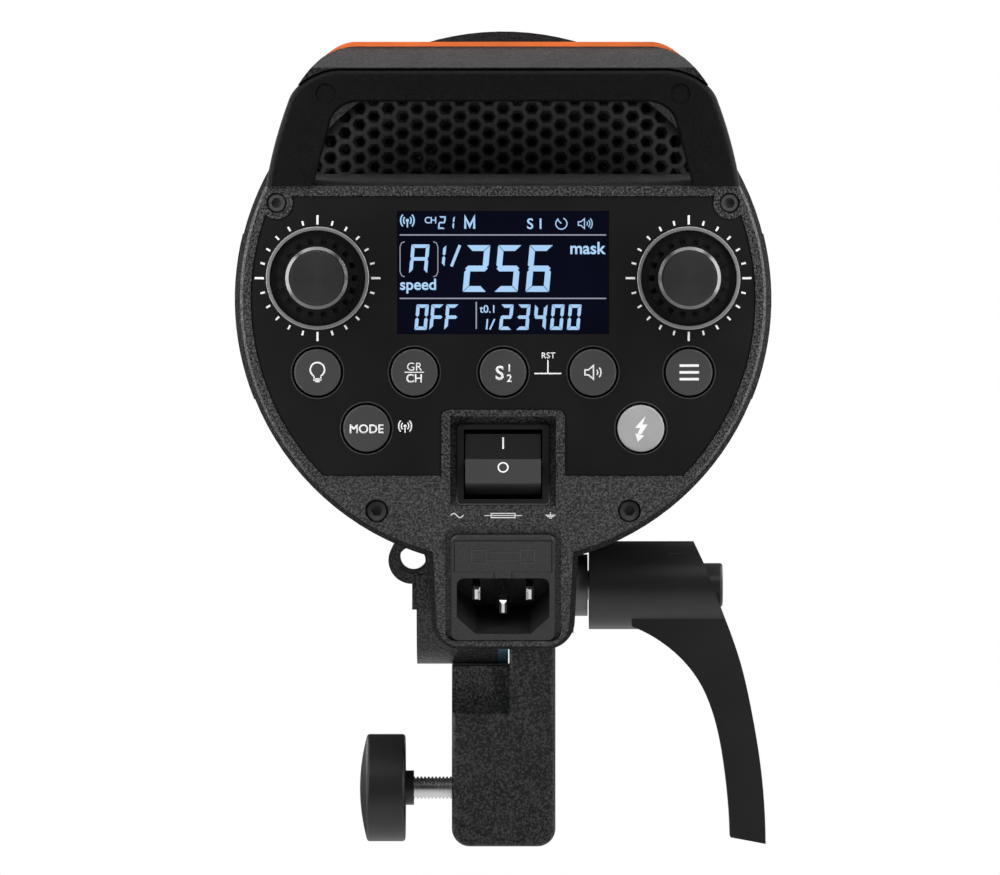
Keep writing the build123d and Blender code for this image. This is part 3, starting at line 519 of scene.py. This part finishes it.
def lettering(text, x, z, height, place, spacing=1.0, bold=0.0, thickness=PRINT):
    """Plain lettering of the given capital height, centred on (x, z)."""
    curve = bpy.data.curves.new("lettering", "FONT")
    curve.body = text
    curve.size = 1.0
    curve.align_x = "CENTER"
    curve.space_character = spacing
    curve.offset = bold
    curve.resolution_u = 6
    thing = bpy.data.objects.new("lettering", curve)
    bpy.context.collection.objects.link(thing)
    graph = bpy.context.evaluated_depsgraph_get()
    flat = bpy.data.meshes.new_from_object(thing.evaluated_get(graph))
    bpy.data.objects.remove(thing)
    bpy.data.curves.remove(curve)
    shape = bmesh.new()
    shape.from_mesh(flat)
    bpy.data.meshes.remove(flat)
    bmesh.ops.remove_doubles(shape, verts=shape.verts, dist=1e-5)
    faces = list(shape.faces)
    rise = bmesh.ops.extrude_face_region(shape, geom=faces)
    top = {v for v in rise["geom"] if isinstance(v, bmesh.types.BMVert)}
    scale = height / CAPITAL
    for vertex in shape.verts:
        depth = -thickness if vertex in top else SUNK
        vertex.co = place(x + vertex.co.x * scale, depth, z + (vertex.co.y - CAPITAL / 2) * scale)
    return shape


def lathe(profile, middle, segments=96):
    """Turns a closed profile of (radius, y) points, in millimetres, about an axis along Y."""
    shape = bmesh.new()
    rings = []
    for i in range(segments):
        angle = 2 * math.pi * i / segments
        turn = (math.cos(angle), math.sin(angle))
        ring = [middle + Vector((r * turn[0], y, r * turn[1])) * MM for r, y in profile]
        rings.append([shape.verts.new(point) for point in ring])
    count = len(profile)
    for i in range(segments):
        a, b = rings[i], rings[(i + 1) % segments]
        for j in range(count):
            k = (j + 1) % count
            shape.faces.new((a[j], a[k], b[k], b[j]))
    return shape


def smooth(thing, angle=30):
    """Smooth shading, with edges sharper than the angle in degrees kept."""
    for face in thing.data.polygons:
        face.use_smooth = True
    with bpy.context.temp_override(active_object=thing, selected_objects=[thing], object=thing,
                                   selected_editable_objects=[thing]):
        bpy.ops.object.shade_smooth_by_angle(angle=math.radians(angle))


# ---- dials ---------------------------------------------------------------------------
TICKS = 24              # round each dial; every sixth is long
LONG_EVERY = 6
LONG_TICK = (13.9, 16.3, 0.56)      # inner radius, outer radius and width
SHORT_TICK = (14.1, 15.3, 0.5)
RING_PROFILE = [(12.35, -0.7), (12.45, -0.95), (13.2, -0.95), (13.34, -0.8), (13.34, -0.1), (12.35, -0.1)]
COLLAR_PROFILE = [(6.96, 0.15), (7.02, 0.02), (7.25, 0.04), (8.08, 0.98), (8.08, 1.2), (7.5, 1.25),
                  (6.96, 0.7)]
GROOVES = 18            # turned into the face of a cap
CAP_CORE = 0.02         # radius at which the grooves start
CAP_GROOVED = 6.88      # width of the grooved face
CAP_RADIUS = 6.9
CAP_THICKNESS = 0.9
GROOVE_DEPTH = 0.06


def make_dial(side):
    """Scale and polished ring on the panel, and a spun face in place of the knob's plain cap."""
    x, z = local(f"dial_well_{side}")
    middle = AXIS + Vector((x, 0, z)) * MM
    body = f"dial_{side}"
    front = (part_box(f"knob_cap_{side}")[0].y - middle.y) / MM

    ticks = []
    for i in range(TICKS):
        angle = 2 * math.pi * i / TICKS
        inner, outer, width = SHORT_TICK if i % LONG_EVERY else LONG_TICK
        ends = [(x + r * math.cos(angle), z + r * math.sin(angle)) for r in (inner, outer)]
        ticks += ribbon(ends, width)
    scale = sheet(ticks, on_panel(), THIN_PRINT)
    piece(f"dial_ticks_{side}", scale, "print", "head")
    ring = lathe(RING_PROFILE, middle, 128)
    smooth(piece(f"dial_ring_{side}", ring, "turned_ring", "head"))
    collar = lathe([(r, front + y) for r, y in COLLAR_PROFILE], middle, 128)
    smooth(piece(f"knob_collar_{side}", collar, f"spun_{side}", body))

    pitch = CAP_GROOVED / GROOVES
    profile = []
    for i in range(GROOVES):
        r = CAP_CORE + i * pitch
        profile += [(r, front + GROOVE_DEPTH), (r + pitch / 2, front)]
    profile += [(CAP_RADIUS, front + GROOVE_DEPTH), (CAP_RADIUS, front + CAP_THICKNESS),
                (CAP_CORE, front + CAP_THICKNESS)]
    face = piece(f"knob_face_{side}", lathe(profile, middle, 144), f"spun_{side}", body)
    smooth(face, 60)
    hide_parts(f"knob_cap_{side}")


# ---- button markings -----------------------------------------------------------------
BUTTON_RIM = [(6.62, -0.02), (6.66, -0.10), (6.86, -0.10), (6.92, -0.02), (6.92, 0.05), (6.62, 0.05)]


def bulb(x, z, place):
    """Outline of a light bulb with its screw base."""
    glass = arc(x, z + 0.7, 1.85, -62, 242, 30)
    neck = [(x + 0.87, z - 1.7), (x - 0.87, z - 1.7)]
    base = [(x - 0.55, z - 2.35), (x + 0.55, z - 2.35)]
    sides = [(x - 0.87, z - 1.0), (x - 0.87, z - 2.0), (x + 0.87, z - 2.0), (x + 0.87, z - 1.0)]
    lines = ((glass, 0.42), (neck, 0.36), (base, 0.4), (sides, 0.36))
    return [strip(line, width, place) for line, width in lines]


def antenna(x, z, place, size=1.0):
    """A mast with waves on both sides."""
    shapes = [sheet([disc(x, z + 0.3 * size, 0.42 * size, 20)], place)]
    shapes.append(strip([(x, z), (x, z - 1.5 * size)], 0.34 * size, place))
    for radius in (1.0, 1.75):
        for middle in (0, 180):
            line = arc(x, z + 0.3 * size, radius * size, middle - 48, middle + 48, 16, 1.15)
            shapes.append(strip(line, 0.36 * size, place))
    return shapes


def speaker(x, z, place, size=1.0, waves=2):
    """Outline of a loudspeaker with waves on its right."""
    box = [(-2.1, 0.65), (-1.2, 0.65), (0.1, 1.75), (0.1, -1.75), (-1.2, -0.65), (-2.1, -0.65)]
    outline = [(x + a * size, z + b * size) for a, b in box]
    shapes = [strip(outline, 0.36 * size, place, closed=True)]
    for i in range(waves):
        wave = arc(x + 0.2 * size, z, (1.0 + 0.85 * i) * size, -42, 42, 14)
        shapes.append(strip(wave, 0.36 * size, place))
    return shapes


def bolt(x, z, place):
    """Lightning flash that ends in an arrow head."""
    stroke = [(1.3, 3.3), (-1.6, 0.1), (-0.2, 0.1), (-0.95, -1.5), (0.15, -1.5), (1.7, 1.0), (0.35, 1.0)]
    head = [(-1.5, -1.3), (-0.8, -3.5), (0.85, -1.9)]
    return [sheet([[(x + a, z + b) for a, b in outline] for outline in (stroke, head)], place)]


def stacked(top, bottom, x, z, place):
    """Two short words over and under a line, the lower one bolder."""
    return [lettering(top, x, z + 1.5, 2.1, place),
            strip([(x - 2.5, z + 0.02), (x + 2.5, z + 0.02)], 0.26, place),
            lettering(bottom, x, z - 1.5, 2.1, place, bold=0.018)]


def menu_bars(x, z, place):
    half, reach = 0.33, 2.5
    bars = []
    for rise in (-1.75, 0, 1.75):
        low, high = z + rise - half, z + rise + half
        bars.append([(x - reach, low), (x + reach, low), (x + reach, high), (x - reach, high)])
    return [sheet(bars, place)]


def sync_mark(x, z, place):
    """A letter with two small figures beside it."""
    return [lettering("S", x - 0.9, z - 0.1, 3.5, place, bold=0.02),
            lettering("1", x + 1.6, z + 1.2, 1.9, place, bold=0.02),
            lettering("2", x + 1.6, z - 1.5, 1.9, place, bold=0.02)]


def make_button_marks():
    """A mark on each button, which moves with it, and a rim on the panel round it."""
    marks = {
        "lamp_button": bulb,
        "group_button": lambda x, z, place: stacked("GR", "CH", x, z, place),
        "sync_button": sync_mark,
        "sound_button": speaker,
        "menu_button": menu_bars,
        "mode_button": lambda x, z, place: [lettering("MODE", x, z - 0.1, 2.2, place, 1.0, 0.02)],
        "test_button": bolt,
    }
    for name, draw in marks.items():
        x, z = local(name)
        face = (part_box(name)[0].y - AXIS.y) / MM
        piece(name + "_mark", join(draw(x, z, on_panel(face))), "print", name)
        ring = lathe(BUTTON_RIM, AXIS + Vector((x, 0, z)) * MM, 72)
        smooth(piece(name + "_rim", ring, "rim", "head"))


def make_panel_print():
    """The wireless mark beside one button, and the reset mark that joins two others."""
    x, z = local("mode_button")
    waves = join(antenna(x + 10.0, z + 0.3, on_panel(), 0.95))
    piece("wireless_mark", waves, "print", "head")
    x, z = local("sync_button")
    stem, base = x + 11.6, z - 0.3
    lines = [strip([(stem, z + 3.2), (stem, z - 0.15)], 0.35, on_panel()),
             strip([(stem - 3.5, base), (stem + 3.5, base)], 0.35, on_panel()),
             lettering("RST", stem + 0.1, z + 4.4, 1.5, on_panel(), 1.05, 0.012)]
    piece("reset_mark", join(lines), "print", "head")


# ---- display -------------------------------------------------------------------------
LEAN = 0.09             # sideways lean of the figures, for each millimetre of height
SEGMENTS = {            # clockwise from the top: a b c d e f, and g across the middle
    "0": "abcdef", "1": "bc", "2": "abged", "3": "abgcd", "4": "fgbc", "5": "afgcd", "6": "afgedc",
    "A": "abcefg", "F": "aefg", "O": "abcdef",
}


def digit(mark, x, z, width, height, stroke):
    """One seven-segment figure with mitred segments, its left bottom corner at (x, z)."""
    gap, half = 0.05 * stroke + 0.03, stroke / 2
    segments = {
        "a": [(gap, height), (width - gap, height), (width - stroke - gap, height - stroke),
              (stroke + gap, height - stroke)],
        "d": [(stroke + gap, stroke), (width - stroke - gap, stroke), (width - gap, 0), (gap, 0)],
        "g": [(gap, height / 2), (half + gap, height / 2 + half), (width - half - gap, height / 2 + half),
              (width - gap, height / 2), (width - half - gap, height / 2 - half),
              (half + gap, height / 2 - half)],
        "f": [(0, height - gap), (stroke, height - stroke - gap), (stroke, height / 2 + half + gap),
              (half, height / 2 + gap), (0, height / 2 + half + gap)],
    }
    segments["b"] = [(width - px, pz) for px, pz in reversed(segments["f"])]
    segments["e"] = [(px, height - pz) for px, pz in reversed(segments["f"])]
    segments["c"] = [(width - px, height - pz) for px, pz in segments["f"]]
    return [[(x + px + pz * LEAN, z + pz) for px, pz in segments[key]] for key in SEGMENTS[mark]]


def number(text, x, z, width, height, stroke, pitch=0.0):
    """A row of seven-segment figures; pitch is the step from one to the next."""
    polygons = []
    for i, mark in enumerate(text):
        polygons += digit(mark, x + i * pitch, z, width, height, stroke)
    return polygons


def make_display():
    """Readings, rules, symbols and words, laid out from the edges of the display window."""
    low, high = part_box("display_window")
    left, face, bottom = (low - AXIS) / MM
    right, _, top = (high - AXIS) / MM
    place = on_panel(face)
    bars = []
    bars += number("256", left + 16.9, top - 20.9, 6.1, 12.1, 1.5, 8.15)
    bars += number("OFF", left + 4.4, bottom + 1.05, 3.2, 6.6, 0.88, 3.85)
    bars += number("23400", left + 26.3, bottom + 1.05, 3.25, 6.6, 0.88, 4.4)
    bars += number("A", left + 3.0, top - 16.1, 4.7, 7.5, 0.9)
    bars += number("21", left + 10.5, top - 4.6, 1.8, 3.3, 0.4, 2.3)
    bars += number("1", left + 9.6, top - 14.3, 2.6, 5.5, 0.75)
    piece("display_figures", sheet(bars, place, THIN_PRINT), "segment", "head")
    rules = [
        strip([(left + 0.6, top - 6.15), (right - 0.7, top - 6.15)], 0.32, place, THIN_PRINT),
        strip([(left + 0.6, top - 22.6), (right - 0.7, top - 22.6)], 0.32, place, THIN_PRINT),
        strip([(left + 20.45, top - 23.5), (left + 20.45, top - 30.5)], 0.34, place, THIN_PRINT),
    ]
    for sign, edge in ((1, left + 0.7), (-1, left + 10.5)):
        curve = [(edge + sign * 1.2, top - 7.9), (edge + sign * 0.4, top - 8.2), (edge, top - 9.2),
                 (edge, top - 15.7), (edge + sign * 0.4, top - 16.7), (edge + sign * 1.2, top - 17.0)]
        rules.append(strip(curve, 0.24, place, THIN_PRINT))
    piece("display_rules", join(rules), "rule", "head")
    lines = [
        strip([(left + 16.2, top - 8.8), (left + 14.0, top - 14.3)], 0.75, place, THIN_PRINT),
        strip([(left + 25.2, bottom + 3.85), (left + 23.95, bottom + 1.15)], 0.42, place, THIN_PRINT),
        strip([(left + 23.35, bottom + 3.85), (left + 23.1, bottom + 1.15)], 0.42, place, THIN_PRINT),
        strip([(left + 17.6, top - 4.55), (left + 17.6, top - 1.6), (left + 18.75, top - 3.9),
               (left + 19.9, top - 1.6), (left + 19.9, top - 4.55)], 0.58, place, THIN_PRINT),
    ]
    lines += antenna(left + 2.6, top - 2.7, place, 1.0)
    lines += speaker(right - 6.4, top - 3.2, place, 0.72, 3)
    dial_x, dial_z = right - 12.3, top - 3.2
    for line in (arc(dial_x, dial_z, 1.45, 120, 430, 30), [(dial_x, dial_z), (dial_x - 1.0, dial_z + 1.0)]):
        lines.append(strip(line, 0.28, place, THIN_PRINT))
    piece("display_lines", join(lines), "segment", "head")
    words = [
        lettering("CH", left + 8.6, top - 2.3, 1.65, place, 0.85, 0.012, THIN_PRINT),
        lettering("S", left + 34.4, top - 3.2, 2.7, place, 1.0, 0.012, THIN_PRINT),
        lettering("1", left + 37.1, top - 3.2, 2.7, place, 1.0, 0.01, THIN_PRINT),
        lettering("mask", right - 5.6, top - 9.5, 3.1, place, 1.0, 0.018, THIN_PRINT),
        lettering("speed", left + 5.4, top - 18.9, 2.85, place, 1.0, 0.018, THIN_PRINT),
        lettering("t0.1", left + 23.5, bottom + 6.5, 1.95, place, 1.0, 0.01, THIN_PRINT),
    ]
    piece("display_words", join(words), "segment", "head")


# ---- switch, chin and fuse drawer ----------------------------------------------------
ROCKER_TIP = math.radians(-12)      # how the rocker stands at rest
ROCKER_CREASE = 6.3                 # from the pivot to the crease between its faces
ROCKER_SLOPE = math.atan(0.67 / 6.49)   # of each face, away from the crease


def make_switch_marks():
    """A bar and a ring on the rocker's two faces, which lean with it."""
    joint = next(j for j in frame["record"]["behaviour"]["joints"] if j["child"] == "rocker")
    pivot = Vector(joint["pos_m"])
    tip = Matrix.Rotation(ROCKER_TIP, 3, "X")

    def on_face(sign, height):
        turn = Matrix.Rotation(sign * ROCKER_SLOPE, 3, "X")
        middle = Vector((0, -ROCKER_CREASE - abs(height) * math.tan(ROCKER_SLOPE), height))
        return lambda x, y, z: pivot + tip @ (middle + turn @ Vector((x, y, z))) * MM

    stroke = sheet([[(-0.22, -1.5), (0.22, -1.5), (0.22, 1.5), (-0.22, 1.5)]], on_face(1, 4.15))
    piece("switch_on_mark", stroke, "print", "rocker")
    loop = strip(disc(0, 0, 1.25, 40), 0.36, on_face(-1, -2.2), closed=True)
    piece("switch_off_mark", loop, "print", "rocker")


def on_chin(origin):
    """Placement on the sloping chin: x across, y into it, z up the slope."""
    turn = Matrix.Rotation(CHIN_LEAN, 3, "X")
    return lambda x, y, z: origin + turn @ Vector((x, y, z)) * MM


def chin_point(z, out=0.0):
    """The point of the chin's plane at height z from the lamp axis, moved out of the plane."""
    depth = (CHIN_TOP - z) * math.tan(CHIN_LEAN)
    normal = Vector((0, -math.cos(CHIN_LEAN), -math.sin(CHIN_LEAN)))
    return AXIS + (Vector((0, depth, z)) + normal * out) * MM


def make_chin_marks():
    """Plain symbols for alternating current, fuse and protective earth."""
    place = on_chin(chin_point(-56.2))
    step, half_wave, swing = 0.3, 1.6, 0.62
    wave = [(-13.6 + step * i, swing * math.sin(i * step * math.pi / half_wave)) for i in range(12)]
    marks = [strip(wave, 0.3, place)]
    fuse = [(-3.1, -0.62), (3.1, -0.62), (3.1, 0.62), (-3.1, 0.62)]
    marks.append(strip(fuse, 0.26, place, closed=True))
    marks.append(strip([(-4.9, 0), (4.9, 0)], 0.22, place))
    earth, highest, spacing = 12.3, 0.1, 0.42
    for i, half in enumerate((1.3, 0.85, 0.4)):
        height = highest - spacing * i
        marks.append(strip([(earth - half, height), (earth + half, height)], 0.22, place))
    marks.append(strip([(earth, highest), (earth, 0.95)], 0.22, place))
    piece("chin_symbols", join(marks), "print", "head")


def make_fuse_symbol():
    """Raised outline of a fuse, moulded on the drawer: two square ends and the tube between."""
    place = on_chin(chin_point(-67.0, 0.1))
    rise, width, half = 0.12, 0.2, 1.85
    shapes = []
    for x in (-6.3, 6.3):
        end = [(x - half, -half), (x + half, -half), (x + half, half), (x - half, half)]
        shapes.append(strip(end, width, place, rise, True))
    for z in (-1.15, 1.15):
        shapes.append(strip([(-4.45, z), (4.45, z)], width, place, rise))
    # the outline is moulded in the drawer's own dark plastic; the lighter rim colour it gets here is a
    # painted highlight standing in for the light its raised lines catch
    piece("fuse_symbol", join(shapes), "rim", "fuse_carrier")


# ---- light end -----------------------------------------------------------------------
TILE_PITCH = 2.6
TILE_HALF = 1.0         # half the side of a tile
TILE_PROUD = 0.4        # how far the tiles stand out of their holder
LAMP_RISE = 9.0         # from the tiles' holder to the front of the lamp


def make_lamp_details():
    """The modelling lamp's phosphor tiles, in a round grid."""
    face = (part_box("modelling_lamp")[1].y - AXIS.y) / MM
    base = AXIS + Vector((0, face - LAMP_RISE, 0)) * MM
    tiles = bmesh.new()
    for i in range(-2, 3):
        for j in range(-2, 3):
            if i * i + j * j > 6:       # leaves out the four corners
                continue
            middle = Vector((i * TILE_PITCH, TILE_PROUD - TILE_HALF, j * TILE_PITCH))
            place = Matrix.Translation(base + middle * MM)
            bmesh.ops.create_cube(tiles, size=2 * TILE_HALF * MM, matrix=place)
    piece("lamp_tiles", tiles, "phosphor", "head")


def make_extra_materials():
    """Turned metals and the button rims. Both dial rings share one metal, centred on the left dial:
    its marks are too fine to show that."""
    ring_centre = centre("dial_well_left")
    M["turned_ring"] = machined("turned_rim", (0.62, 0.62, 0.63), 0.40, 0.3, ring_centre, 0.002)
    # this lighter colour also goes on the fuse symbol, where it is a painted highlight on relief that is
    # really the drawer's own colour
    M["rim"] = satin("button_rim", (0.05, 0.05, 0.052), 0.3)
    for side in ("left", "right"):
        M[f"spun_{side}"] = machined(f"spun_cap_{side}", (0.20, 0.20, 0.205), 0.30, 0.19,
                                     centre(f"knob_cap_{side}"), 0.004)


def main():
    bpy.context.scene.view_settings.view_transform = "Standard"     # keeps the white backdrop white
    make_camera()
    make_world()
    make_lights()
    make_floor()
    make_extra_materials()
    dress_nodes()
    for side in ("left", "right"):
        make_dial(side)
    make_button_marks()
    make_panel_print()
    make_display()
    make_switch_marks()
    make_chin_marks()
    make_fuse_symbol()
    make_lamp_details()


main()
